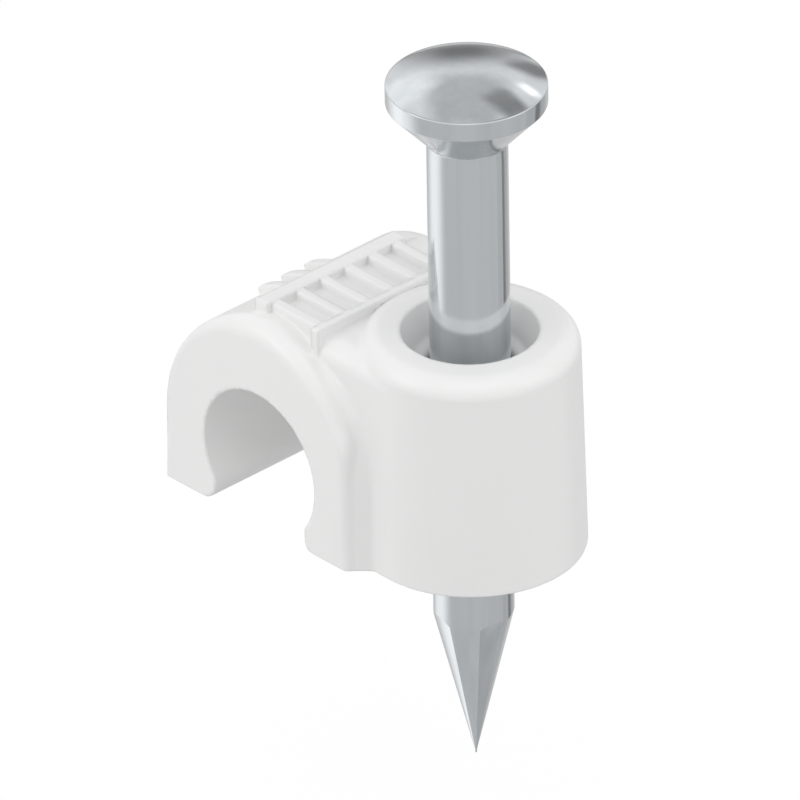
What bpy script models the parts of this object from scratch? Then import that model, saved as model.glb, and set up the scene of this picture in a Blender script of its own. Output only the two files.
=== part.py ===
"""Nail-in cable clip: a moulded saddle clip with a nail boss, and the nail that fixes it.

Units are metres, +Z up. The origin lies on the nail's axis, in the plane of the wall.
X runs from the hook towards the boss, and Y runs along the cable.
The nail is modelled part driven: its head stands above the boss and its point below the base.
"""

import math

import bmesh
import bpy
from mathutils import Matrix, Vector

MM = 0.001

# The cable and its opening
CABLE_R = 1.965 * MM            # radius of the opening, for a 4 mm cable
CABLE_SQUEEZE = 0.097 * CABLE_R  # how far the cable is pressed towards the wall
LIP_GRIP = 0.38 * CABLE_R       # how much narrower than the cable the mouth is
OUTER_LIP_R = 0.23 * CABLE_R    # rounding of the outer lip onto the base
INNER_LIP_R = 0.15 * CABLE_R    # rounding of the lip beside the boss
LIP_SINK = 0.01 * MM            # the roundings run out just under the base

# The hook that goes over the cable
HOOK_WALL = 1.345 * MM          # wall beside the opening, on the outer side
LEG_WALL = 0.985 * MM           # wall beside the opening towards the boss, up to its rounding
CROWN_WALL = 2.01 * MM          # wall above the opening
LEG_TO_NAIL = 0.87 * MM         # from the leg's side, at mid height, to the nail's axis
FRONT_STEP = 0.51 * MM          # how far the hook's front face stands out beside the boss
BACK_STEP = 0.11 * MM           # how far its back face does
CROWN_FILLET = 0.53 * MM        # rounding along the crown's front and back edges
LEG_FILLET = 0.26 * MM          # the same rounding beside the boss
EDGE_BREAK = 0.03 * MM          # the least rounding, down the outer wall
CROWN_END = math.radians(50)    # angle above the horizon where the crown rounding has run out
DRAFT = math.radians(1.15)      # taper of the upright walls, for the mould

# The boss that holds the nail
BOSS_R = 2.83 * MM              # radius at the base
BOSS_HEIGHT = 6.00 * MM
BOSS_FILLET = 0.52 * MM         # rounding of the top edge
RECESS_R = 1.718 * MM           # mouth of the funnel that takes the nail's head
RECESS_DEPTH = 1.70 * MM
BORE_CLEARANCE = 0.04 * MM      # between the nail's shaft and its bore
VALLEY_FILLET = 0.22 * MM       # inner rounding between the hook's side and the bridge

# The plain grip ribs on the crown
RIB_RISE = 0.25 * MM            # how far the two long ribs stand above the crown
RIB_FRONT_GAP = 0.57 * MM       # from the hook's front face to the long ribs
RIB_BACK_GAP = 1.04 * MM        # from its back face to them
OUTER_RIB_SIDE = 0.28 * MM      # the long rib over the hook, outwards from the hook's middle
OUTER_RIB_WIDTH = 0.42 * MM
INNER_RIB_SIDE = 1.62 * MM      # the long rib beside the boss, inwards from the hook's middle
INNER_RIB_WIDTH = 0.25 * MM
RUNG_COUNT = 6                  # short ribs across, between the long ones
RUNG_WIDTH = 0.30 * MM
RUNG_MARGIN = 0.17 * MM         # from the long ribs' ends to the first and last of them
RUNG_DROP = 0.03 * MM           # the short ribs end just under the long ones
CREST_RIB_COUNT = 3             # short ribs that run down over the hook's crest
CREST_RIB_WIDTH = 0.36 * MM
CREST_RIB_PITCH = 0.77 * MM
CREST_RIB_GAP = 1.72 * MM       # from the hook's front face to the middle of the first of them
CREST_RIB_FROM = math.radians(95)
CREST_RIB_TO = math.radians(113)

# The nail
SHAFT_R = 1.00 * MM
POINT_DEPTH = 6.19 * MM         # how far the tip stands below the base, part driven
POINT_LENGTH = 4.20 * MM
NAIL_LENGTH = 18.63 * MM        # from the tip to the lower edge of the head's rim
NECK_HEIGHT = 1.08 * MM         # the cone under the head
HEAD_R = 2.01 * MM
RIM_HEIGHT = 0.49 * MM
DOME_HEIGHT = 0.51 * MM
HEAD_EDGE = 0.06 * MM           # bevel of the rim's two edges
POINT_FACETS = 8
POINT_TURN = math.radians(10)   # turn of the point's facets about the nail
FACET_DEPTH = 0.96              # how deep the facets lie, as a share of the round point's radius
TIP_R = 0.02 * MM               # the point's blunt end

# Fineness of the round stretches
ROUND_STEPS = 64
FILLET_STEPS = 5
VALLEY_STEPS = 8
CREST_STEPS = 5
ARC_STEP = math.radians(6)
VALLEY_END = math.radians(62)   # angle up the hook's side at which the valley's rounding ends
OVERRUN = 1.0 * MM              # how far a cutter runs past what it cuts
EMBED = 0.30 * MM               # how far a rib's foot reaches into the crown
BASE_STOCK = 0.50 * MM          # spare height under the base, cut off in one plane
BRIDGE_START = 0.10 * MM        # the bridge's hidden end, past the hook's middle
BRIDGE_END = 0.30 * MM          # its other hidden end, short of the nail's axis

# Places worked out from the sizes above
OPENING_X = -(LEG_TO_NAIL + LEG_FILLET + LEG_WALL + CABLE_R)
OPENING_Z = CABLE_R - CABLE_SQUEEZE
FACE_R = CABLE_R + (HOOK_WALL + LEG_WALL - EDGE_BREAK) / 2
FACE_X = OPENING_X - CABLE_R - HOOK_WALL + FACE_R + EDGE_BREAK
CROWN_Z = OPENING_Z + CABLE_R + CROWN_WALL
FACE_HEIGHT = CROWN_Z - CROWN_FILLET - FACE_R
LEG_FOOT_X = -LEG_TO_NAIL + (FACE_HEIGHT + BASE_STOCK) * math.tan(DRAFT)
FRONT_Y = -(BOSS_R + FRONT_STEP)
BACK_Y = BOSS_R + BACK_STEP
BORE_R = SHAFT_R + BORE_CLEARANCE
RIB_TOP = CROWN_Z + RIB_RISE
RIB_START = FRONT_Y + RIB_FRONT_GAP
RIB_END = BACK_Y - RIB_BACK_GAP
OUTER_RIB_X = FACE_X - OUTER_RIB_SIDE
INNER_RIB_X = FACE_X + INNER_RIB_SIDE


def clear_scene():
    for old in list(bpy.data.objects):
        bpy.data.objects.remove(old)


def new_collection(name):
    made = bpy.data.collections.new(name)
    bpy.context.scene.collection.children.link(made)
    return made


def plain_material(name, colour, roughness, metallic):
    made = bpy.data.materials.new(name)
    made.use_nodes = True
    shader = made.node_tree.nodes["Principled BSDF"]
    shader.inputs["Base Color"].default_value = (*colour, 1.0)
    shader.inputs["Roughness"].default_value = roughness
    shader.inputs["Metallic"].default_value = metallic
    return made


def link_mesh(mesh, name, collection):
    made = bpy.data.objects.new(name, mesh)
    collection.objects.link(made)
    return made


def as_helper(piece):
    """Marks a piece that is only joined to another, or cut from it."""
    piece.hide_render = True
    piece.display_type = "WIRE"
    return piece


def arc(centre, radius, start, end):
    """Points (x, z) along a circle from one angle to another, both ends included."""
    count = max(2, math.ceil(abs(end - start) / ARC_STEP))
    angles = [start + (end - start) * i / count for i in range(count + 1)]
    return [(centre[0] + radius * math.cos(a), centre[1] + radius * math.sin(a)) for a in angles]


def prism(name, outline, depth, collection):
    """A flat outline with thickness, standing upright about the XZ plane."""
    curve = bpy.data.curves.new(name + "_outline", "CURVE")
    curve.dimensions = "2D"
    curve.fill_mode = "BOTH"
    curve.extrude = depth / 2
    spline = curve.splines.new("POLY")
    spline.points.add(len(outline) - 1)
    for point, (u, v) in zip(spline.points, outline):
        point.co = (u, v, 0.0, 1.0)
    spline.use_cyclic_u = True
    drawn = bpy.data.objects.new(name + "_outline", curve)
    bpy.context.scene.collection.objects.link(drawn)
    bpy.context.view_layer.update()
    graph = bpy.context.evaluated_depsgraph_get()
    mesh = bpy.data.meshes.new_from_object(drawn.evaluated_get(graph))
    bpy.data.objects.remove(drawn)
    mesh.name = name
    shape = bmesh.new()
    shape.from_mesh(mesh)
    bmesh.ops.remove_doubles(shape, verts=shape.verts, dist=0.001 * MM)
    bmesh.ops.dissolve_limit(
        shape, angle_limit=math.radians(0.5), verts=shape.verts, edges=shape.edges
    )
    bmesh.ops.rotate(shape, verts=shape.verts, matrix=Matrix.Rotation(math.pi / 2, 3, "X"))
    bmesh.ops.recalc_face_normals(shape, faces=shape.faces)
    shape.to_mesh(mesh)
    shape.free()
    return link_mesh(mesh, name, collection)


def turned(name, profile, collection):
    """A solid turned about Z from a profile of (radius, height), given from top to bottom."""
    mesh = bpy.data.meshes.new(name)
    points = [(radius, 0.0, height) for radius, height in profile]
    mesh.from_pydata(points, [(i, i + 1) for i in range(len(points) - 1)], [])
    made = link_mesh(mesh, name, collection)
    screw = made.modifiers.new("turn", "SCREW")
    screw.steps = ROUND_STEPS
    screw.render_steps = ROUND_STEPS
    screw.use_merge_vertices = True
    screw.merge_threshold = 0.0001 * MM
    screw.use_smooth_shade = True
    return made


def box(name, low, high, collection):
    shape = bmesh.new()
    bmesh.ops.create_cube(shape, size=1.0)
    size = Vector(high) - Vector(low)
    middle = (Vector(high) + Vector(low)) / 2
    bmesh.ops.scale(shape, vec=size, verts=shape.verts)
    bmesh.ops.translate(shape, vec=middle, verts=shape.verts)
    mesh = bpy.data.meshes.new(name)
    shape.to_mesh(mesh)
    shape.free()
    return link_mesh(mesh, name, collection)


def combine(target, other, operation):
    """Joins or cuts two closed solids. EXACT loses the whole clip at some sizes, so not that."""
    step = target.modifiers.new(other.name, "BOOLEAN")
    step.operation = operation
    step.solver = "MANIFOLD"
    step.object = as_helper(other)


def smooth(piece, angle=30):
    piece.data.shade_smooth()
    piece.data.set_sharp_from_angle(angle=math.radians(angle))


def crown_fillet(angle):
    """The edge rounding at an angle round the hook, from the leg (0) over to the outer wall (pi).

    It grows from almost nothing at the outer wall to its full size at the top, and shrinks
    again to the leg's rounding on the way down beside the boss.
    """
    if angle >= math.pi / 2:
        return EDGE_BREAK + (CROWN_FILLET - EDGE_BREAK) * (1 + math.cos(angle))
    share = min(1.0, max(0.0, (angle - CROWN_END) / (math.pi / 2 - CROWN_END)))
    share = share * share * (3 - 2 * share)
    return LEG_FILLET + (CROWN_FILLET - LEG_FILLET) * share


def hook_outline():
    """The hook's side view as (x, z) points, with the edge rounding that each point gets."""
    count = math.ceil(math.pi / ARC_STEP)
    points = [((LEG_FOOT_X, -BASE_STOCK), LEG_FILLET)]
    for i in range(count + 1):
        angle = math.pi * i / count
        rounding = crown_fillet(angle)
        reach = FACE_R + rounding
        place = (FACE_X + reach * math.cos(angle), FACE_HEIGHT + reach * math.sin(angle))
        points.append((place, rounding))
    wall_r = FACE_R + EDGE_BREAK
    foot_x = FACE_X - wall_r - (FACE_HEIGHT + BASE_STOCK) * math.tan(DRAFT)
    points.append(((foot_x, -BASE_STOCK), EDGE_BREAK))
    return points


def hook_solid(collection):
    """The arch over the cable, before the opening is cut. Its two edge roundings vary."""
    points = hook_outline()
    piece = prism("clip_body", [p for p, _ in points], BACK_Y - FRONT_Y, collection)
    piece.data.transform(Matrix.Translation((0.0, (BACK_Y + FRONT_Y) / 2, 0.0)))
    roundings = {(round(x, 7), round(z, 7)): r for (x, z), r in points}
    mesh = piece.data
    weights = mesh.attributes.new("bevel_weight_edge", "FLOAT", "EDGE")
    for edge in mesh.edges:
        ends = [mesh.vertices[i].co for i in edge.vertices]
        along_face = abs(ends[0].y - ends[1].y) < 0.01 * MM
        at_base = max(e.z for e in ends) < -BASE_STOCK / 2
        if along_face and not at_base:
            found = [nearest_rounding(roundings, e.x, e.z) for e in ends]
            weights.data[edge.index].value = sum(found) / 2 / CROWN_FILLET
    smooth(piece)
    bevel = piece.modifiers.new("crown_edges", "BEVEL")
    bevel.limit_method = "WEIGHT"
    bevel.offset_type = "OFFSET"
    bevel.width = CROWN_FILLET
    bevel.segments = FILLET_STEPS
    return piece


def nearest_rounding(roundings, x, z):
    place = min(roundings, key=lambda p: (p[0] - x) ** 2 + (p[1] - z) ** 2)
    return roundings[place]


def opening_outline():
    """The cable's opening as (x, z) points: a round top, narrowing to two rounded lips."""
    half_mouth = CABLE_R - LIP_GRIP / 2
    centre = (OPENING_X, OPENING_Z)
    outer_round = (OPENING_X - half_mouth - OUTER_LIP_R, OUTER_LIP_R - LIP_SINK)
    inner_round = (OPENING_X + half_mouth + INNER_LIP_R, INNER_LIP_R - LIP_SINK)
    inner_end = -math.acos(half_mouth / CABLE_R)
    outer_end = math.pi + tangent_angle(centre, outer_round)
    points = [(inner_round[0], -OVERRUN)]
    points += arc(inner_round, INNER_LIP_R, math.radians(270), math.radians(180))
    points += arc(centre, CABLE_R, inner_end, outer_end)
    points += arc(outer_round, OUTER_LIP_R, outer_end - math.pi, math.radians(-90))
    points.append((outer_round[0], -OVERRUN))
    return points


def tangent_angle(centre, lip):
    """The turn below the level at which the opening's circle runs straight into its outer lip."""
    across = centre[0] - lip[0]
    down = centre[1] - lip[1]
    apart = math.hypot(across, down)
    lean = math.acos((CABLE_R + OUTER_LIP_R) / apart)
    return math.atan2(down, across) - lean


def bridge_outline():
    """The bridge's end view as (y, z) points: upright walls with draft and a rounded top."""
    lean = math.tan(DRAFT)
    radius = CROWN_FILLET
    shoulder_z = CROWN_Z - radius
    shoulder_y = BOSS_R - shoulder_z * lean - radius
    right = arc((shoulder_y, shoulder_z), radius, 0.0, math.pi / 2)
    left = arc((-shoulder_y, shoulder_z), radius, math.pi / 2, math.pi)
    foot_y = BOSS_R + BASE_STOCK * lean
    return [(foot_y, -BASE_STOCK)] + right + left + [(-foot_y, -BASE_STOCK)]


def bridge_solid(collection):
    """The block between the hook's crown and the boss, as wide as the boss."""
    start = FACE_X + BRIDGE_START
    piece = prism("bridge", bridge_outline(), -BRIDGE_END - start, collection)
    turn = Matrix.Rotation(-math.pi / 2, 4, "Z")
    piece.data.transform(Matrix.Translation(((start - BRIDGE_END) / 2, 0.0, 0.0)) @ turn)
    smooth(piece)
    return piece


def boss_solid(collection):
    """The tapered post round the nail, with a rounded top edge and a sharp foot."""
    top_r = BOSS_R - BOSS_HEIGHT * math.tan(DRAFT)
    centre = (top_r - BOSS_FILLET, BOSS_HEIGHT - BOSS_FILLET)
    profile = [(0.0, BOSS_HEIGHT)]
    profile += arc(centre, BOSS_FILLET, math.pi / 2, 0.0)
    foot_r = BOSS_R + BASE_STOCK * math.tan(DRAFT)
    profile += [(foot_r, -BASE_STOCK), (0.0, -BASE_STOCK)]
    return turned("boss", profile, collection)


def recess_cutter(collection):
    """The funnel under the nail's head, and the bore below it."""
    slope = (RECESS_R - BORE_R) / RECESS_DEPTH
    profile = [
        (0.0, BOSS_HEIGHT + OVERRUN),
        (RECESS_R + slope * OVERRUN, BOSS_HEIGHT + OVERRUN),
        (BORE_R, BOSS_HEIGHT - RECESS_DEPTH),
        (BORE_R, -OVERRUN),
        (0.0, -OVERRUN),
    ]
    return turned("nail_recess", profile, collection)


def valley_sweep(name, collection):
    """The inner rounding where the hook's side meets the bridge's front, swept up the hook."""
    shape = bmesh.new()
    lean = math.tan(DRAFT)
    rings = []
    for (x, z), out in valley_path():
        wall_y = BOSS_R - z * lean
        radius = VALLEY_FILLET
        section = [(-EMBED, -EMBED), (radius, -EMBED), (radius, 0.0)]
        section += [
            (radius - radius * math.sin(a), radius - radius * math.cos(a))
            for a in (math.radians(d) for d in (22.5, 45.0, 67.5))
        ]
        section += [(0.0, radius), (-EMBED, radius)]
        ring = []
        for away, proud in section:
            place = (x + away * out[0], -(wall_y + proud), z + away * out[1])
            ring.append(shape.verts.new(place))
        rings.append(ring)
    for lower, upper in zip(rings, rings[1:]):
        for i in range(len(lower)):
            j = (i + 1) % len(lower)
            shape.faces.new((lower[i], lower[j], upper[j], upper[i]))
    shape.faces.new(rings[0][::-1])
    shape.faces.new(rings[-1])
    bmesh.ops.recalc_face_normals(shape, faces=shape.faces)
    mesh = bpy.data.meshes.new(name)
    shape.to_mesh(mesh)
    shape.free()
    return link_mesh(mesh, name, collection)


def valley_path():
    """Points up the hook's side with their outward directions, from the base to the crown."""
    places = [((LEG_FOOT_X, -BASE_STOCK), (1.0, 0.0))]
    for i in range(VALLEY_STEPS + 1):
        angle = VALLEY_END * i / VALLEY_STEPS
        reach = FACE_R + crown_fillet(angle)
        out = (math.cos(angle), math.sin(angle))
        places.append(((FACE_X + reach * out[0], FACE_HEIGHT + reach * out[1]), out))
    return places


def long_ribs(collection):
    """The two long ribs along the cable's direction."""
    made = []
    for name, x, width in (
        ("outer_rib", OUTER_RIB_X, OUTER_RIB_WIDTH),
        ("inner_rib", INNER_RIB_X, INNER_RIB_WIDTH),
    ):
        low = (x - width / 2, RIB_START, CROWN_Z - 2 * EMBED)
        high = (x + width / 2, RIB_END, RIB_TOP)
        made.append(box(name, low, high, collection))
    return made


def rungs(collection):
    """The short ribs between the long ones, evenly spaced about the middle."""
    made = []
    first = RIB_START + RUNG_MARGIN
    pitch = (RIB_END - RIB_START - 2 * RUNG_MARGIN - RUNG_WIDTH) / (RUNG_COUNT - 1)
    for i in range(RUNG_COUNT):
        y = first + i * pitch
        low = (OUTER_RIB_X, y, CROWN_Z - EMBED)
        high = (INNER_RIB_X, y + RUNG_WIDTH, RIB_TOP - RUNG_DROP)
        made.append(box(f"rung_{i + 1}", low, high, collection))
    return made


def crest_ribs(collection):
    """The short ribs that follow the hook's curve down over its crest."""
    turn = (CREST_RIB_TO - CREST_RIB_FROM) / CREST_STEPS
    angles = [CREST_RIB_FROM + turn * i for i in range(CREST_STEPS + 1)]
    outline = []
    for angle in angles:
        reach = FACE_R + crown_fillet(angle) + RIB_RISE
        outline.append((FACE_X + reach * math.cos(angle), FACE_HEIGHT + reach * math.sin(angle)))
    for angle in reversed(angles):
        reach = FACE_R + crown_fillet(angle) - EMBED
        outline.append((FACE_X + reach * math.cos(angle), FACE_HEIGHT + reach * math.sin(angle)))
    made = []
    for i in range(CREST_RIB_COUNT):
        piece = prism(f"crest_rib_{i + 1}", outline, CREST_RIB_WIDTH, collection)
        piece.location.y = FRONT_Y + CREST_RIB_GAP + i * CREST_RIB_PITCH
        made.append(piece)
    return made


def base_trim(collection):
    """Takes the spare stock off in the plane of the wall."""
    low = (OPENING_X - 2 * FACE_R, 2 * FRONT_Y, -2 * BASE_STOCK)
    high = (2 * BOSS_R, -2 * FRONT_Y, 0.0)
    return box("base_trim", low, high, collection)


def clip_body(parts, helpers):
    """The white moulding: hook, bridge, boss and ribs in one piece, then its two cuts."""
    body = hook_solid(parts)
    combine(body, bridge_solid(helpers), "UNION")
    combine(body, boss_solid(helpers), "UNION")
    combine(body, valley_sweep("front_valley", helpers), "UNION")
    for rib in long_ribs(helpers) + rungs(helpers) + crest_ribs(helpers):
        combine(body, rib, "UNION")
    combine(body, base_trim(helpers), "DIFFERENCE")
    reach = 2 * (BACK_Y - FRONT_Y)
    opening = prism("cable_opening", opening_outline(), reach, helpers)
    combine(body, opening, "DIFFERENCE")
    combine(body, recess_cutter(helpers), "DIFFERENCE")
    return body


def nail_profile():
    """The nail before its point is pressed: (radius, height) from the dome to the tip's height."""
    rim_low = NAIL_LENGTH - POINT_DEPTH
    rim_high = rim_low + RIM_HEIGHT
    dome_r = (HEAD_R ** 2 + DOME_HEIGHT ** 2) / (2 * DOME_HEIGHT)
    dome_z = rim_high + DOME_HEIGHT - dome_r
    edge_in = HEAD_R - HEAD_EDGE
    reach = math.asin(edge_in / dome_r)
    top = arc((0.0, dome_z), dome_r, math.pi / 2, math.pi / 2 - reach)
    rim = [(HEAD_R, rim_high - HEAD_EDGE / 2), (HEAD_R, rim_low + HEAD_EDGE / 2)]
    neck_share = HEAD_EDGE / (HEAD_R - SHAFT_R)
    neck = [(edge_in, rim_low - neck_share * NECK_HEIGHT), (SHAFT_R, rim_low - NECK_HEIGHT)]
    return top + rim + neck + [(SHAFT_R, -POINT_DEPTH), (0.0, -POINT_DEPTH)]


def point_spike(collection):
    """A long pyramid standing on its tip. What the blank shares with it has the nail's point."""
    height = NAIL_LENGTH + RIM_HEIGHT + DOME_HEIGHT + OVERRUN
    corner_share = FACET_DEPTH / math.cos(math.pi / POINT_FACETS)
    shape = bmesh.new()
    bmesh.ops.create_cone(
        shape,
        cap_ends=True,
        segments=POINT_FACETS,
        radius1=TIP_R,
        radius2=height * SHAFT_R / POINT_LENGTH * corner_share,
        depth=height,
    )
    bmesh.ops.rotate(shape, verts=shape.verts, matrix=Matrix.Rotation(POINT_TURN, 3, "Z"))
    bmesh.ops.translate(shape, verts=shape.verts, vec=(0.0, 0.0, height / 2 - POINT_DEPTH))
    mesh = bpy.data.meshes.new("point_spike")
    shape.to_mesh(mesh)
    shape.free()
    return link_mesh(mesh, "point_spike", collection)


def nail(parts, helpers):
    """The plated steel nail, turned as a blank and then pressed to a faceted point."""
    piece = turned("nail", nail_profile(), parts)
    combine(piece, point_spike(helpers), "INTERSECT")
    return piece


def main():
    clear_scene()
    parts = new_collection("nail_in_cable_clip")
    helpers = new_collection("helpers")
    body = clip_body(parts, helpers)
    body.data.materials.append(plain_material("white_plastic", (0.84, 0.84, 0.83), 0.38, 0.0))
    pin = nail(parts, helpers)
    pin.data.materials.append(plain_material("bright_zinc", (0.62, 0.64, 0.66), 0.14, 1.0))


main()
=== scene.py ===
"""Looks of the nail-in cable clip: a fine mesh of the white moulding, the bright nail, the studio.

The two solids of the model are replaced by smoother pieces of the same size in the same place.
Sizes in this file are in millimetres, and they are scaled to metres where an object is made.
"""

import math

import bpy
import numpy as np
from mathutils import Matrix, Vector


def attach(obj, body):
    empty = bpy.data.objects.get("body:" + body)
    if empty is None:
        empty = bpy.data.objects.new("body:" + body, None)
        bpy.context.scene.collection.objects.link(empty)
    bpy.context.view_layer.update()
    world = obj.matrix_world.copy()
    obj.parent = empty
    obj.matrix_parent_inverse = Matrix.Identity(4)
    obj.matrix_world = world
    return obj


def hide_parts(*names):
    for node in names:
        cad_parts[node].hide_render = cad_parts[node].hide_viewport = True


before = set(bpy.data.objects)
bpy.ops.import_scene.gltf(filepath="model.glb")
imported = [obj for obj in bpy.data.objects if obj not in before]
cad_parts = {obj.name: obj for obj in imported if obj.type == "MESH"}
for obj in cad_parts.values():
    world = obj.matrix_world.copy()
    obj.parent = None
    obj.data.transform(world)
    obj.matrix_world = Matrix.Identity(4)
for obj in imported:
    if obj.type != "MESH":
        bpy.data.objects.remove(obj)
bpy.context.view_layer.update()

MM = 0.001

# The cable and its opening
CABLE_R = 1.965
OPENING_X = -4.08
OPENING_Z = 1.774
OUTER_LIP_X = -5.672            # nose of the outer lip
INNER_LIP_X = -2.488            # nose of the lip beside the boss
INNER_LIP_R = 0.295
LIP_SINK = 0.01

# The hook that goes over the cable
FACE_X = -4.245                 # middle of the round front face
FACE_HEIGHT = 2.104
FACE_R = 3.115
FRONT_Y = -3.34
BACK_Y = 2.94
CROWN_FILLET = 0.53
LEG_X = -0.97                   # side of the leg beside the boss
LEG_EDGE = 0.20                 # rounding of its front edge
LEG_ANGLES = (math.radians(16), math.radians(34))   # where that runs into the shoulder's rounding
SHOULDER_FILLET = 0.40
SHOULDER_ANGLES = (math.radians(48), math.radians(85))   # where that runs into the crown's
SIDE_BLEND = 0.12               # softens the corner where the leg's side runs into the crown
EDGE_BREAK = 0.03
FILLET_BLEND = 0.06             # softens the change between the two laws of the rounding
LEAN = math.tan(math.radians(1.15))

# The bridge and the boss
CROWN_Z = 5.732                 # a soft join brings the crown up to 5.75
BRIDGE_START = -0.15            # the bridge's hidden end, from the middle of the round face
BOSS_R = 2.83
BOSS_HEIGHT = 6.00
BOSS_FILLET = 0.52
RECESS_R = 1.718
RECESS_SLOPE = 0.44             # how much its wall narrows on the way down
RECESS_DEPTH = 0.90
RECESS_FLOOR = 0.18             # rounding between its wall and its floor
BORE_R = 1.04
SLOT_R = 1.11                   # below the recess the bore is a little wider: the dark slot
SLOT_DEPTH = 3.6                # its lower end, from the top of the boss
SLOT_LIP = 0.22                 # softness of its upper edge
LEG_RAMP = 0.52                 # reach of the slanting face between the leg's foot and the boss
RAMP_JOIN = 0.06                # softness of its edges
RAMP_MARGIN = 0.08              # how far it stays behind the hook's front
FRONT_VALLEY = 0.33             # hollow fillet above it, between the hook's shoulder and the bridge
VALLEY_START = (math.radians(17), math.radians(34))
VALLEY_END = (math.radians(55), math.radians(88))
BACK_VALLEY = 0.08              # the same behind, where the step is small
LOW_BRIDGE_DROP = 0.3           # a lower, rounder bridge keeps those fillets off the crown
LOW_BRIDGE_FILLET = 0.7
CROWN_JOIN = 0.05               # softness of the join between the crown and the bridge's top
BOSS_JOIN = 0.10                # softness of the step from the bridge's top up to the boss
LEAST_JOIN = 1e-6               # stands for no join, and can be divided by

# The plain ribs on the crown
RIB_TOP = 5.999
RIB_START = -2.77
RIB_END = 1.90
LONG_RIBS = ((-4.525, 0.42), (-2.625, 0.25))   # middle and width
RUNG_COUNT = 6
RUNG_WIDTH = 0.30
RUNG_MARGIN = 0.17
RUNG_TOP = 5.969
RIB_ROOT = 5.2                  # the ribs' hidden lower end
CREST_COUNT = 3
CREST_WIDTH = 0.36
CREST_PITCH = 0.77
CREST_START = -1.62
CREST_FROM = math.radians(95)
CREST_TO = math.radians(113)
CREST_RISE = 0.25               # above the crest
CREST_ROOT = -0.5               # their hidden lower end

# Fine roundings of the moulding
RIB_EDGE = 0.035
RIB_FOOT = 0.03
CUT_EDGE = 0.035
RIM_EDGE = 0.03
BASE_EDGE = 0.04

# The grid that the moulding's mesh is drawn from: its cell and its corners, just round the solid
CELL = 0.075
GRID_LOW = (-7.55, -3.45, -0.12)
GRID_HIGH = (2.95, 3.05, 6.12)
HALVINGS = 12                   # of a cell's edge, to find where the surface crosses it
MEAN_PULL = 0.05                # how firmly a point stays near the crossings of its cell
SETTLE_ROUNDS = 3               # moves that bring the points onto the surface
LEAST_SLOPE = 0.5               # limits those moves where the field is flat
SLOPE_STEP = 0.004
NORMAL_STEP = 0.01              # wider than that, which evens out the shading

# The nail
SHAFT_R = 1.00
POINT_DEPTH = 6.19
POINT_LENGTH = 4.20
RIM_LOW = 12.44
NECK_HEIGHT = 1.08
HEAD_R = 1.99
RIM_HEIGHT = 0.48
DOME_HEIGHT = 0.50
HEAD_EDGE = 0.045
TIP_R = 0.026
NECK_FILLET = 0.12
POINT_FACETS = 8
POINT_TURN = math.radians(10)
POINT_ROWS = 40
FACET_SHARE = 0.42              # how far the point's facets go from round towards flat
FACET_MEAN = 0.974              # keeps the faceted point as thick as a round one
ROW_POWER = 1.4                 # brings the point's rows closer together towards the tip
NAIL_SEGMENTS = 192
DOME_STEPS = 28
EDGE_STEPS = 8
FILLET_STEPS = 6
SHAFT_ROWS = 30
SHAFT_MARGIN = 0.3              # from the shaft's first and last row to its ends
SHARP_ANGLE = math.radians(9)

# Colours and gloss, each between two values that follow a noise
NOISE_LOW = 0.3                 # where the noise's used stretch starts
NOISE_HIGH = 0.7                # and where it ends
PLASTIC_COLOURS = ((0.835, 0.836, 0.832), (0.85, 0.85, 0.845))
PLASTIC_ROUGHNESS = (0.28, 0.36)
PLASTIC_IOR = 1.49
ZINC_COLOURS = ((0.56, 0.59, 0.61), (0.65, 0.675, 0.69))
ZINC_ROUGHNESS = (0.09, 0.15)
# Noises as waves in a millimetre, detail and stretch, and the heights of their relief
FLOW_NOISE = (0.35, 2, (1, 1, 0.4))
GRAIN_NOISE = (9, 3, (1, 1, 1))
FLOW_RELIEF = 0.012
GRAIN_RELIEF = 0.0012
LINES_NOISE = (2.2, 3, (1, 1, 0.02))
CLOUD_NOISE = (0.7, 3, (1, 1, 1))
LINES_RELIEF = 0.0015
CLOUD_RELIEF = 0.003

# The studio
PHOTO_WIDTH = 800               # in pixels
PIXELS_PER_MM = 40.95
SENSOR_WIDTH = 36
CAMERA_AZIMUTH = math.radians(47.1)
CAMERA_HEIGHT = math.radians(31.0)
CAMERA_ROLL = math.radians(0.93)
CAMERA_TARGET = Vector((-0.528, -1.878, 4.517))
CAMERA_DISTANCE = 645
CLIP_START = 10
CLIP_END = 10000
WHITE = (1, 1, 1, 1)
FLOOR_Z = -12.6                 # the nail's tip stays above it when it is driven home
FLOOR_SIZE = 400
FLOOR_COLOUR = (0.57, 0.57, 0.57, 1)   # for the light that it throws back on the object
FLOOR_ROUGHNESS = 0.9
FLOOR_SPECULAR = 0.1
FLOOR_WHITE = 0.85              # how much of the floor that the camera sees is its own plain white
FLOOR_MIRRORED = 0.20           # the same where metal mirrors it
SKY_LEVEL = 0.82
LIT_POINT = Vector((-2.0, 0.0, 3.0))
# Name, side and height in degrees, distance, width and length, and the level of its face
LAMPS = (
    ("front_light", 0, 58, 220, 120, 120, 1.25),
    ("left_light", -75, 25, 220, 120, 120, 1.85),
    ("right_light", 70, 25, 220, 120, 120, 1.60),
)
LAMP_SOFT = 0.7                 # soft share of a lamp's edges where it is mirrored
# Cards that only reflections see, in the same order, with the soft share of their edges
CARDS = (
    ("ceiling_card", 180, 66, 160, 140, 180, 0.66, 0.5),
    ("bright_card", -148, 38, 160, 100, 110, 1.25, 0.7),
    ("back_card", 180, 10, 120, 84, 150, 0.24, 0.9),
    ("side_card", 160, 16, 118, 40, 70, 0.30, 0.7),
    ("upper_card", 138, 59, 155, 78, 66, 0.34, 0.6),
    ("glint_card", 146, 39, 150, 36, 24, 1.9, 0.7),
)
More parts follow.
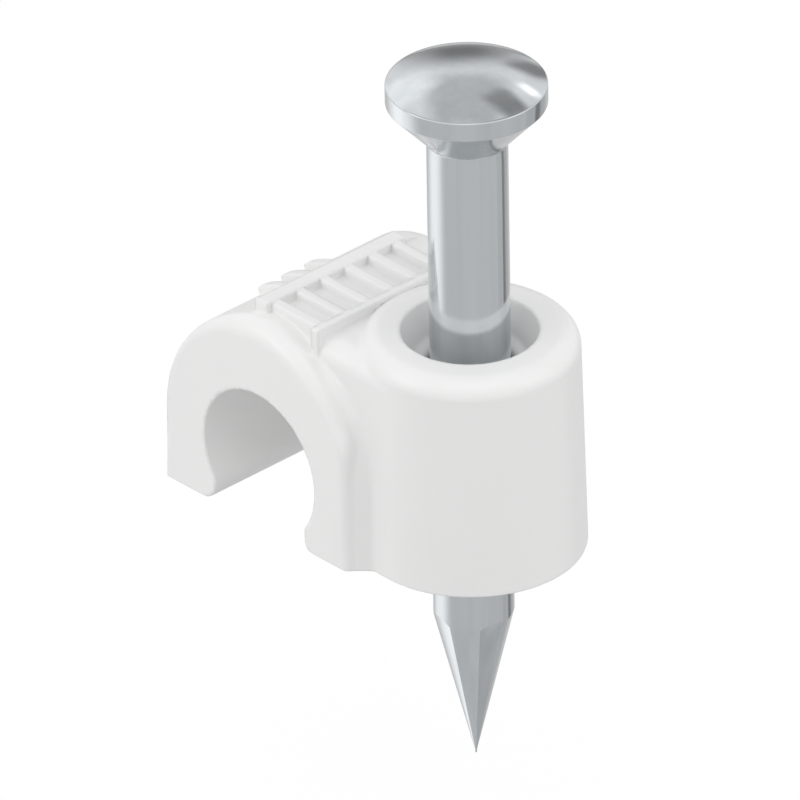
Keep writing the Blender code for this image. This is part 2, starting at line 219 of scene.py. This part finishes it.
# Cards just above the floor round the nail: angles from the camera, distances, level, soft share
CARD_LIFT = 0.1
FLOOR_CARDS = (
    ("bright_strip", -155, -64, 8, 150, 1.32, 0.85),
    ("dark_strip", 109, 129, 8, 150, 0.28, 0.4),
    ("grey_strip", 86, 110, 8, 150, 0.60, 0.6),
    ("dusk_strip", 122, 148, 8, 150, 0.56, 0.6),
    ("point_strip", 12, 96, 2, 11, 0.54, 0.12),
)


def rounded(a, b, radius):
    """What two solids share, with a rounded edge between them."""
    a, b = a + radius, b + radius
    outside = np.hypot(np.maximum(a, 0), np.maximum(b, 0))
    return outside + np.minimum(np.maximum(a, b), 0) - radius


def filleted(a, b, radius):
    """Two solids joined, with a hollow fillet between them."""
    corner = np.hypot(np.maximum(radius - a, 0), np.maximum(radius - b, 0))
    return np.maximum(np.minimum(a, b), radius) - corner


def soft_min(a, b, reach):
    """The smaller of two values, with a soft change between them."""
    share = np.clip(0.5 + 0.5 * (b - a) / reach, 0, 1)
    return b + (a - b) * share - reach * share * (1 - share)


def smooth_share(value, start, end):
    """0 before the start, 1 after the end, and a smooth rise between them."""
    share = np.clip((value - start) / (end - start), 0, 1)
    return share * share * (3 - 2 * share)


def hook_edge(angle):
    """How far the hook's outside stands beyond its round face, and the rounding between them.

    The angle goes round the hook, from the leg beside the boss (0) over to the outer wall (pi).
    """
    outer = EDGE_BREAK + (CROWN_FILLET - EDGE_BREAK) * (1 + np.cos(angle))
    share = smooth_share(angle, *SHOULDER_ANGLES)
    shoulder = SHOULDER_FILLET + (CROWN_FILLET - SHOULDER_FILLET) * share
    beyond = soft_min(outer, shoulder, FILLET_BLEND)
    share = smooth_share(angle, *LEG_ANGLES)
    rounding = soft_min(outer, LEG_EDGE + (shoulder - LEG_EDGE) * share, FILLET_BLEND)
    return beyond, rounding


def hook_angle(x, z):
    """The angle round the hook, which stays at its end values below the round part."""
    return np.arctan2(np.maximum(z - FACE_HEIGHT, 0), x - FACE_X)


def hook_reach(x, z):
    """Distance beyond the outline of the round face, which widens towards the base."""
    reach = np.hypot(x - FACE_X, np.maximum(z - FACE_HEIGHT, 0)) - FACE_R
    return reach - np.maximum(FACE_HEIGHT - z, 0) * LEAN


def hook(x, y, z):
    """The arch over the cable, still without its opening."""
    beyond, rounding = hook_edge(hook_angle(x, z))
    side = x - LEG_X + (z - FACE_HEIGHT) * LEAN
    outline = -soft_min(beyond - hook_reach(x, z), -side, SIDE_BLEND)
    deep = np.abs(y - (FRONT_Y + BACK_Y) / 2) - (BACK_Y - FRONT_Y) / 2
    return rounded(outline, deep, rounding)


def bridge(x, y, z, top=CROWN_Z, radius=CROWN_FILLET):
    """The bar from the hook to the nail's axis, as wide as the boss."""
    wall = np.abs(y) - BOSS_R + z * LEAN
    span = rounded(wall, z - top, radius)
    return np.maximum(span, np.maximum(FACE_X + BRIDGE_START - x, x))


def boss(x, y, z):
    """The tapered boss round the nail, with a rounded top edge."""
    side = np.hypot(x, y) - BOSS_R + z * LEAN
    return rounded(side, z - BOSS_HEIGHT, BOSS_FILLET)


def block(x, y, z, low, high, radius):
    """A straight block with rounded edges."""
    away = [np.abs(p - (a + b) / 2) - (b - a) / 2 + radius for p, a, b in zip((x, y, z), low, high)]
    outside = np.sqrt(sum(np.maximum(a, 0) ** 2 for a in away))
    return outside + np.minimum(np.maximum.reduce(away), 0) - radius


def ribs(x, y, z):
    """The two long ribs, the short ones between them and those that run down over the crest."""
    made = []
    for middle, width in LONG_RIBS:
        low = (middle - width / 2, RIB_START, RIB_ROOT)
        high = (middle + width / 2, RIB_END, RIB_TOP)
        made.append(block(x, y, z, low, high, RIB_EDGE))
    pitch = (RIB_END - RIB_START - 2 * RUNG_MARGIN - RUNG_WIDTH) / (RUNG_COUNT - 1)
    for i in range(RUNG_COUNT):
        start = RIB_START + RUNG_MARGIN + i * pitch
        low = (LONG_RIBS[0][0], start, RIB_ROOT)
        high = (LONG_RIBS[1][0], start + RUNG_WIDTH, RUNG_TOP)
        made.append(block(x, y, z, low, high, RIB_EDGE))
    across, up = x - FACE_X, z - FACE_HEIGHT
    angle = np.arctan2(up, across)
    reach = np.hypot(across, up)
    rise = reach - FACE_R - hook_edge(np.clip(angle, 0, math.pi))[0]
    middle = (CREST_FROM + CREST_TO) / 2
    along = (angle - middle) * FACE_R
    half = (CREST_TO - CREST_FROM) / 2 * FACE_R
    for i in range(CREST_COUNT):
        place = CREST_START + i * CREST_PITCH
        low = (-half, place - CREST_WIDTH / 2, CREST_ROOT)
        high = (half, place + CREST_WIDTH / 2, CREST_RISE)
        made.append(block(along, y, rise, low, high, RIB_EDGE))
    return np.minimum.reduce(made)


def opening(x, z):
    """The cable's opening: a circle that narrows to two rounded lips."""
    round_part = np.hypot(x - OPENING_X, z - OPENING_Z) - CABLE_R
    # The outer lip's radius is the one that meets the circle without a corner
    across = OPENING_X - OUTER_LIP_X
    up = OPENING_Z + LIP_SINK
    half = CABLE_R + up - across
    lip_r = half - math.sqrt(half ** 2 - across ** 2 - up ** 2 + CABLE_R ** 2)
    lip_x = OUTER_LIP_X - lip_r
    lip_z = lip_r - LIP_SINK
    meet_z = lip_z + lip_r * (OPENING_Z - lip_z) / (CABLE_R + lip_r)
    outer_lip = np.hypot(x - lip_x, z - lip_z) - lip_r
    inner_lip = rounded(INNER_LIP_X - x, -LIP_SINK - z, INNER_LIP_R)
    mouth = np.maximum(z - meet_z, np.maximum(lip_x - x, x - INNER_LIP_X - INNER_LIP_R))
    mouth = np.maximum(mouth, np.maximum(-outer_lip, -inner_lip))
    return np.minimum(round_part, mouth)


def recess(x, y, z):
    """The cup in the top of the boss, the slot round the nail and the bore below them."""
    away = np.hypot(x, y)
    cone = (away - RECESS_R - (z - BOSS_HEIGHT) * RECESS_SLOPE) / math.hypot(1, RECESS_SLOPE)
    cup = rounded(cone, BOSS_HEIGHT - RECESS_DEPTH - z, RECESS_FLOOR)
    slot = np.maximum(away - SLOT_R, BOSS_HEIGHT - SLOT_DEPTH - z)
    return np.minimum(soft_min(cup, slot, SLOT_LIP), away - BORE_R)


def moulding(x, y, z):
    """Signed distance to the surface of the white moulding, negative inside."""
    arch = hook(x, y, z)
    low_bridge = bridge(x, y, z, CROWN_Z - LOW_BRIDGE_DROP, LOW_BRIDGE_FILLET)
    angle = hook_angle(x, z)
    share = smooth_share(angle, *VALLEY_START) * (1 - smooth_share(angle, *VALLEY_END))
    valley = np.where(y < 0, FRONT_VALLEY * share, BACK_VALLEY) + LEAST_JOIN
    solid = filleted(arch, low_bridge, valley)
    ramp = (hook_reach(x, z) + low_bridge - LEG_RAMP) * math.sqrt(0.5)
    ramp = np.maximum(ramp, FRONT_Y + RAMP_MARGIN - y)
    solid = np.where(y < 0, soft_min(solid, ramp, RAMP_JOIN), solid)
    solid = np.minimum(solid, soft_min(arch, bridge(x, y, z), CROWN_JOIN))
    # Below the step the walls of bridge and boss run into each other and need no join
    join = LEAST_JOIN + BOSS_JOIN * np.clip((z - CROWN_Z) / CROWN_FILLET + 1, 0, 1)
    solid = soft_min(solid, boss(x, y, z), join)
    solid = filleted(solid, ribs(x, y, z), RIB_FOOT)
    solid = rounded(solid, -opening(x, z), CUT_EDGE)
    solid = rounded(solid, -recess(x, y, z), RIM_EDGE)
    return rounded(solid, -z, BASE_EDGE)


def slope_at(field, points, step=SLOPE_STEP):
    """The field's gradient at each point."""
    x, y, z = points.T
    return np.stack(
        [
            field(x + step, y, z) - field(x - step, y, z),
            field(x, y + step, z) - field(x, y - step, z),
            field(x, y, z + step) - field(x, y, z - step),
        ],
        axis=1,
    ) / (2 * step)


def contour(field, low, high):
    """Vertices and quads of the field's zero surface, by dual contouring on an even grid."""
    axes = [np.arange(a, b + CELL, CELL) for a, b in zip(low, high)]
    grid = np.meshgrid(*axes, indexing="ij")
    inside = field(*grid) < 0
    shape = np.array(inside.shape)
    start = np.array([a[0] for a in axes])
    strides = np.array([shape[1] * shape[2], shape[2], 1])
    cell_ids, hits, quads = [], [], []
    for axis in range(3):
        ahead = np.moveaxis(inside, axis, 0)
        index = np.argwhere(np.moveaxis(ahead[1:] != ahead[:-1], 0, axis))
        origin = start + index * CELL
        first = inside[tuple(index.T)]
        near, far = np.zeros(len(index)), np.full(len(index), CELL)
        step = np.zeros(3)
        step[axis] = 1.0
        for _ in range(HALVINGS):
            middle = (near + far) / 2
            there = origin + middle[:, None] * step
            same = (field(*there.T) < 0) == first
            near = np.where(same, middle, near)
            far = np.where(same, far, middle)
        hit = origin + ((near + far) / 2)[:, None] * step
        side, up = (axis + 1) % 3, (axis + 2) % 3
        around = []
        for shift_side, shift_up in ((-1, -1), (0, -1), (0, 0), (-1, 0)):
            cell = index.copy()
            cell[:, side] += shift_side
            cell[:, up] += shift_up
            around.append(cell @ strides)
        around = np.stack(around, axis=1)
        quads.append(np.where(first[:, None], around, around[:, ::-1]))
        for cells in around.T:
            cell_ids.append(cells)
            hits.append(hit)
    cell_ids = np.concatenate(cell_ids)
    hits = np.concatenate(hits)
    quads = np.concatenate(quads)
    used, cell_of = np.unique(cell_ids, return_inverse=True)
    normals = slope_at(field, hits)
    normals /= np.linalg.norm(normals, axis=1)[:, None]
    corner = start + np.stack(np.unravel_index(used, shape), axis=1) * CELL
    points = best_points(cell_of, hits, normals, corner)
    for _ in range(SETTLE_ROUNDS):
        slope = slope_at(field, points)
        steepness = np.maximum((slope ** 2).sum(axis=1), LEAST_SLOPE ** 2)
        points = points - slope * (field(*points.T) / steepness)[:, None]
    return points, np.searchsorted(used, quads)


def best_points(cell_of, hits, normals, corner):
    """For each cell, the point that lies best on all the planes that cross its edges."""
    count = len(corner)
    total = np.bincount(cell_of, minlength=count)
    mean = np.stack([np.bincount(cell_of, hits[:, i], count) for i in range(3)], axis=1)
    mean /= total[:, None]
    offset = (normals * (hits - mean[cell_of])).sum(axis=1)
    left = np.empty((count, 3, 3))
    right = np.empty((count, 3))
    for i in range(3):
        right[:, i] = np.bincount(cell_of, normals[:, i] * offset, count)
        for j in range(3):
            left[:, i, j] = np.bincount(cell_of, normals[:, i] * normals[:, j], count)
    left += np.eye(3) * MEAN_PULL
    shift = np.linalg.solve(left, right[:, :, None])[:, :, 0]
    return np.clip(mean + shift, corner, corner + CELL)


def mesh_object(name, points, faces):
    """A new mesh object, from points in millimetres."""
    mesh = bpy.data.meshes.new(name)
    mesh.from_pydata((np.array(points) * MM).tolist(), [], faces)
    made = bpy.data.objects.new(name, mesh)
    bpy.context.scene.collection.objects.link(made)
    return made


def rectangle(name, width, length):
    """A flat sheet round its own middle, for the studio."""
    x, y = width / 2, length / 2
    return mesh_object(name, [(-x, -y, 0), (x, -y, 0), (x, y, 0), (-x, y, 0)], [(0, 1, 2, 3)])


def moulding_piece():
    """The moulding's mesh, shaded with the slopes of its field."""
    points, faces = contour(moulding, GRID_LOW, GRID_HIGH)
    normals = slope_at(moulding, points, NORMAL_STEP)
    normals /= np.linalg.norm(normals, axis=1)[:, None]
    made = mesh_object("clip_moulding", points, faces.tolist())
    made.data.shade_smooth()
    made.data.normals_split_custom_set_from_vertices(normals.tolist())
    return made


def arc(centre, radius, start, end, count):
    """Points on an arc, from its start angle to its end angle."""
    angles = np.linspace(start, end, count + 1)
    return [(centre[0] + radius * math.cos(a), centre[1] + radius * math.sin(a)) for a in angles]


def nail_profile():
    """The nail's side view as (radius, height), from the middle of the dome to the point's start."""
    dome_r = (HEAD_R ** 2 + DOME_HEIGHT ** 2) / (2 * DOME_HEIGHT)
    dome_z = RIM_LOW + RIM_HEIGHT + DOME_HEIGHT - dome_r
    edge_in = HEAD_R - HEAD_EDGE
    reach = math.asin(edge_in / dome_r)
    points = arc((0.0, dome_z), dome_r, math.pi / 2, math.pi / 2 - reach, DOME_STEPS)
    corner = (edge_in, points[-1][1] - HEAD_EDGE)
    points += arc(corner, HEAD_EDGE, math.pi / 2 - reach, 0.0, EDGE_STEPS)[1:]
    lower = (edge_in, RIM_LOW + HEAD_EDGE / 2)
    under = math.atan2(HEAD_R - SHAFT_R, NECK_HEIGHT)
    points += arc(lower, HEAD_EDGE, 0.0, under - math.pi / 2, EDGE_STEPS)
    # The cone under the head runs into the shaft through a hollow fillet
    turn = math.pi / 2 - under
    cut = NECK_FILLET * math.tan(turn / 2)
    start = (SHAFT_R + NECK_FILLET, RIM_LOW - NECK_HEIGHT - cut)
    points += arc(start, NECK_FILLET, math.pi - turn, math.pi, FILLET_STEPS)
    shaft_end = POINT_LENGTH - POINT_DEPTH
    for z in np.linspace(start[1] - SHAFT_MARGIN, shaft_end + SHAFT_MARGIN, SHAFT_ROWS):
        points.append((SHAFT_R, z))
    return points


def nail_piece():
    """A turned blank whose point is pressed into eight low, bulging facets."""
    profile = nail_profile()
    turn = POINT_TURN + np.linspace(0, 2 * math.pi, NAIL_SEGMENTS, endpoint=False)
    side = 2 * math.pi / POINT_FACETS
    off_middle = (turn - POINT_TURN) % side - side / 2
    swell = 1 + FACET_SHARE * (FACET_MEAN / np.cos(off_middle) - 1)
    circle = np.stack([np.cos(turn), np.sin(turn)], axis=1)
    rows = [np.column_stack([radius * circle, np.full(len(turn), z)]) for radius, z in profile[1:]]
    for share in np.linspace(1, 0, POINT_ROWS + 1)[:-1] ** ROW_POWER:
        height = share * POINT_LENGTH / swell
        blunt = TIP_R * np.sqrt(np.minimum(height / TIP_R, 1))
        radius = np.clip(SHAFT_R * swell * height / POINT_LENGTH, blunt, SHAFT_R)
        rows.append(np.column_stack([radius[:, None] * circle, height - POINT_DEPTH]))
    top, tip = [[0, 0, profile[0][1]]], [[0, 0, -POINT_DEPTH]]
    points = np.concatenate([top] + rows + [tip])
    count = NAIL_SEGMENTS
    last = 1 + (len(rows) - 1) * count
    faces = []
    for i in range(count):
        j = (i + 1) % count
        faces.append((0, 1 + i, 1 + j))
        for a in range(1, last, count):
            faces.append((a + i, a + count + i, a + count + j, a + j))
        faces.append((len(points) - 1, last + j, last + i))
    made = mesh_object("plated_nail", points, faces)
    made.data.shade_smooth()
    made.data.set_sharp_from_angle(angle=SHARP_ANGLE)
    return made


def new_material(name):
    """A new material, with its nodes and links."""
    made = bpy.data.materials.new(name)
    made.use_nodes = True
    return made, made.node_tree.nodes, made.node_tree.links


def calculate(nodes, links, operation, *values):
    """A Math node. Each of its values is a socket or a number."""
    node = nodes.new("ShaderNodeMath")
    node.operation = operation
    for place, value in zip(node.inputs, values):
        if isinstance(value, bpy.types.NodeSocket):
            links.new(value, place)
        else:
            place.default_value = value
    return node.outputs[0]


def mix_shaders(nodes, links, first, second):
    """A mix of two shaders, and the socket that says how much of the second shows."""
    node = nodes.new("ShaderNodeMixShader")
    links.new(first.outputs[0], node.inputs[1])
    links.new(second.outputs[0], node.inputs[2])
    return node.outputs[0], node.inputs[0]


def noise_at(nodes, links, waves, detail, stretch):
    """Noise in the object's own space."""
    place = nodes.new("ShaderNodeTexCoord")
    mapping = nodes.new("ShaderNodeMapping")
    mapping.inputs["Scale"].default_value = stretch
    noise = nodes.new("ShaderNodeTexNoise")
    noise.inputs["Scale"].default_value = waves / MM
    noise.inputs["Detail"].default_value = detail
    links.new(place.outputs["Object"], mapping.inputs["Vector"])
    links.new(mapping.outputs[0], noise.inputs["Vector"])
    return noise.outputs["Fac"]


def between(nodes, links, factor, low, high):
    """A number that follows the noise, from low to high."""
    ramp = nodes.new("ShaderNodeMapRange")
    ramp.inputs["From Min"].default_value = NOISE_LOW
    ramp.inputs["From Max"].default_value = NOISE_HIGH
    ramp.inputs["To Min"].default_value = low
    ramp.inputs["To Max"].default_value = high
    links.new(factor, ramp.inputs["Value"])
    return ramp.outputs[0]


def colour_between(nodes, links, factor, first, second):
    """A colour that follows the noise, from the first to the second."""
    ramp = nodes.new("ShaderNodeValToRGB")
    stops = ramp.color_ramp.elements
    for stop, position, colour in zip(stops, (NOISE_LOW, NOISE_HIGH), (first, second)):
        stop.position = position
        stop.color = (*colour, 1)
    links.new(factor, ramp.inputs[0])
    return ramp.outputs[0]


def bump(nodes, links, height, distance, below=None):
    """Relief of the given height, on top of the relief below it."""
    node = nodes.new("ShaderNodeBump")
    node.inputs["Distance"].default_value = distance * MM
    links.new(height, node.inputs["Height"])
    if below is not None:
        links.new(below, node.inputs["Normal"])
    return node.outputs[0]


def plastic_material():
    """Moulded plastic: soft flow marks, a fine tool grain, and gloss that wanders a little."""
    made, nodes, links = new_material("white_plastic")
    shader = nodes["Principled BSDF"]
    flow = noise_at(nodes, links, *FLOW_NOISE)
    grain = noise_at(nodes, links, *GRAIN_NOISE)
    links.new(colour_between(nodes, links, flow, *PLASTIC_COLOURS), shader.inputs["Base Color"])
    links.new(between(nodes, links, grain, *PLASTIC_ROUGHNESS), shader.inputs["Roughness"])
    shader.inputs["IOR"].default_value = PLASTIC_IOR
    wave = bump(nodes, links, flow, FLOW_RELIEF)
    links.new(bump(nodes, links, grain, GRAIN_RELIEF, wave), shader.inputs["Normal"])
    return made


def zinc_material():
    """Bright plating over drawn wire: faint lines along the nail and a slightly cloudy gloss."""
    made, nodes, links = new_material("bright_zinc")
    shader = nodes["Principled BSDF"]
    shader.inputs["Metallic"].default_value = 1.0
    lines = noise_at(nodes, links, *LINES_NOISE)
    cloud = noise_at(nodes, links, *CLOUD_NOISE)
    links.new(colour_between(nodes, links, lines, *ZINC_COLOURS), shader.inputs["Base Color"])
    links.new(between(nodes, links, cloud, *ZINC_ROUGHNESS), shader.inputs["Roughness"])
    wave = bump(nodes, links, cloud, CLOUD_RELIEF)
    links.new(bump(nodes, links, lines, LINES_RELIEF, wave), shader.inputs["Normal"])
    return made


def camera():
    """The photograph's camera, far away and looking at its middle."""
    data = bpy.data.cameras.new("photo_camera")
    made = bpy.data.objects.new("photo_camera", data)
    bpy.context.scene.collection.objects.link(made)
    back = Vector(
        (
            math.sin(CAMERA_AZIMUTH) * math.cos(CAMERA_HEIGHT),
            -math.cos(CAMERA_AZIMUTH) * math.cos(CAMERA_HEIGHT),
            math.sin(CAMERA_HEIGHT),
        )
    )
    place = (CAMERA_TARGET + back * CAMERA_DISTANCE) * MM
    look = (-back).to_track_quat("-Z", "Y").to_matrix().to_4x4()
    made.matrix_world = Matrix.Translation(place) @ look @ Matrix.Rotation(-CAMERA_ROLL, 4, "Z")
    data.sensor_width = SENSOR_WIDTH
    data.lens = SENSOR_WIDTH * CAMERA_DISTANCE / (PHOTO_WIDTH / PIXELS_PER_MM)
    data.clip_start = CLIP_START * MM
    data.clip_end = CLIP_END * MM
    bpy.context.scene.camera = made


def light_path_world():
    """A soft sky as a light, and plain white where it is seen or mirrored."""
    world = bpy.data.worlds.new("studio")
    world.use_nodes = True
    bpy.context.scene.world = world
    nodes, links = world.node_tree.nodes, world.node_tree.links
    soft = nodes["Background"]
    white = nodes.new("ShaderNodeBackground")
    for background, level in ((soft, SKY_LEVEL), (white, 1.0)):
        background.inputs["Color"].default_value = WHITE
        background.inputs["Strength"].default_value = level
    mixed, share = mix_shaders(nodes, links, soft, white)
    links.new(seen_directly(nodes, links, 1.0), share)
    links.new(mixed, nodes["World Output"].inputs["Surface"])


def seen_directly(nodes, links, mirrored):
    """1 for rays from the camera and through glass, and the given share for those off metal."""
    path = nodes.new("ShaderNodeLightPath").outputs
    glossy = calculate(nodes, links, "MULTIPLY", path["Is Glossy Ray"], mirrored)
    straight = calculate(nodes, links, "MAXIMUM", path["Is Camera Ray"], path["Is Transmission Ray"])
    return calculate(nodes, links, "MAXIMUM", straight, glossy)


def floor():
    """A pale floor. What the camera sees is mostly its own white, and lit enough to keep shadows."""
    made = rectangle("floor", FLOOR_SIZE, FLOOR_SIZE)
    made.location.z = FLOOR_Z * MM
    material, nodes, links = new_material("floor_paper")
    shader = nodes["Principled BSDF"]
    paper = nodes.new("ShaderNodeMix")
    paper.data_type = "RGBA"
    paper.inputs["A"].default_value = FLOOR_COLOUR
    paper.inputs["B"].default_value = WHITE
    links.new(seen_directly(nodes, links, 0.0), paper.inputs["Factor"])
    links.new(paper.outputs["Result"], shader.inputs["Base Color"])
    shader.inputs["Roughness"].default_value = FLOOR_ROUGHNESS
    shader.inputs["Specular IOR Level"].default_value = FLOOR_SPECULAR
    white = nodes.new("ShaderNodeEmission")
    white.inputs["Color"].default_value = WHITE
    white.inputs["Strength"].default_value = 1.0
    mixed, share = mix_shaders(nodes, links, shader, white)
    seen = seen_directly(nodes, links, FLOOR_MIRRORED / FLOOR_WHITE)
    links.new(calculate(nodes, links, "MULTIPLY", seen, FLOOR_WHITE), share)
    links.new(mixed, nodes["Material Output"].inputs["Surface"])
    made.data.materials.append(material)


def aim(made, side, height, distance):
    """Puts a lamp or card round the object, looking at it. The side's angle is from the camera."""
    turn = CAMERA_AZIMUTH + math.radians(side)
    rise = math.radians(height)
    way = Vector((math.sin(turn) * math.cos(rise), -math.cos(turn) * math.cos(rise), math.sin(rise)))
    made.location = (way * distance + LIT_POINT) * MM
    made.rotation_euler = (LIT_POINT * MM - made.location).to_track_quat("-Z", "Y").to_euler()


def soft_light(name, side, height, distance, width, length, level):
    """A square lamp with the given level on its face, and the soft card that is mirrored for it."""
    data = bpy.data.lights.new(name, "AREA")
    data.shape = "RECTANGLE"
    data.size, data.size_y = width * MM, length * MM
    data.energy = level * math.pi * data.size * data.size_y
    made = bpy.data.objects.new(name, data)
    aim(made, side, height, distance)
    made.visible_camera = False
    made.visible_glossy = False
    bpy.context.scene.collection.objects.link(made)
    raised_card(name + "_card", side, height, distance, width, length, level, LAMP_SOFT)


def make_card(made, level):
    """Makes a sheet glow in reflections alone. The last socket given says how much of it shows."""
    material, nodes, links = new_material(made.name)
    glow = nodes.new("ShaderNodeEmission")
    glow.inputs["Strength"].default_value = level
    clear = nodes.new("ShaderNodeBsdfTransparent")
    mixed, shown = mix_shaders(nodes, links, clear, glow)
    links.new(mixed, nodes["Material Output"].inputs["Surface"])
    made.data.materials.append(material)
    for use in ("camera", "diffuse", "transmission", "volume_scatter", "shadow"):
        setattr(made, "visible_" + use, False)
    return nodes, links, shown


def axes_of(nodes, links):
    """The object's own X, Y and Z, in metres."""
    place = nodes.new("ShaderNodeTexCoord")
    split = nodes.new("ShaderNodeSeparateXYZ")
    links.new(place.outputs["Object"], split.inputs[0])
    return split.outputs


def soft_edge(nodes, links, value, reach, soft):
    """1 in the middle, falling to 0 where the value is at plus or minus its reach."""
    fall = nodes.new("ShaderNodeMapRange")
    fall.interpolation_type = "SMOOTHSTEP"
    fall.inputs["From Min"].default_value = reach
    fall.inputs["From Max"].default_value = reach * (1 - soft)
    links.new(calculate(nodes, links, "ABSOLUTE", value), fall.inputs["Value"])
    return fall.outputs[0]


def raised_card(name, side, height, distance, width, length, level, soft):
    """A card that looks at the object and fades out towards all its edges."""
    made = rectangle(name, width, length)
    aim(made, side, height, distance)
    nodes, links, shown = make_card(made, level)
    axes = axes_of(nodes, links)
    across = soft_edge(nodes, links, axes[0], width / 2 * MM, soft)
    along = soft_edge(nodes, links, axes[1], length / 2 * MM, soft)
    links.new(calculate(nodes, links, "MULTIPLY", across, along), shown)


def floor_card(name, start, end, near, far, level, soft):
    """A card just above the floor, between two angles, that fades out towards those two sides."""
    half = math.radians(end - start) / 2
    points = []
    for turn, distance in ((-half, near), (-half, far), (half, far), (half, near)):
        points.append((math.sin(turn) * distance, -math.cos(turn) * distance, 0))
    made = mesh_object(name, points, [(0, 1, 2, 3)])
    made.location.z = (FLOOR_Z + CARD_LIFT) * MM
    made.rotation_euler.z = CAMERA_AZIMUTH + math.radians(start + end) / 2
    nodes, links, shown = make_card(made, level)
    axes = axes_of(nodes, links)
    ahead = calculate(nodes, links, "MULTIPLY", axes[1], -1)
    angle = calculate(nodes, links, "ARCTAN2", axes[0], ahead)
    links.new(soft_edge(nodes, links, angle, half, soft), shown)


def studio():
    """The white room: sky, floor, lamps and cards."""
    light_path_world()
    floor()
    for lamp in LAMPS:
        soft_light(*lamp)
    for values in CARDS:
        raised_card(*values)
    for values in FLOOR_CARDS:
        floor_card(*values)


def main():
    bpy.context.scene.view_settings.view_transform = "Standard"
    clip = moulding_piece()
    clip.data.materials.append(plastic_material())
    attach(clip, "clip")
    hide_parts("clip_body")
    pin = nail_piece()
    pin.data.materials.append(zinc_material())
    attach(pin, "nail")
    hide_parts("nail")
    camera()
    studio()


main()
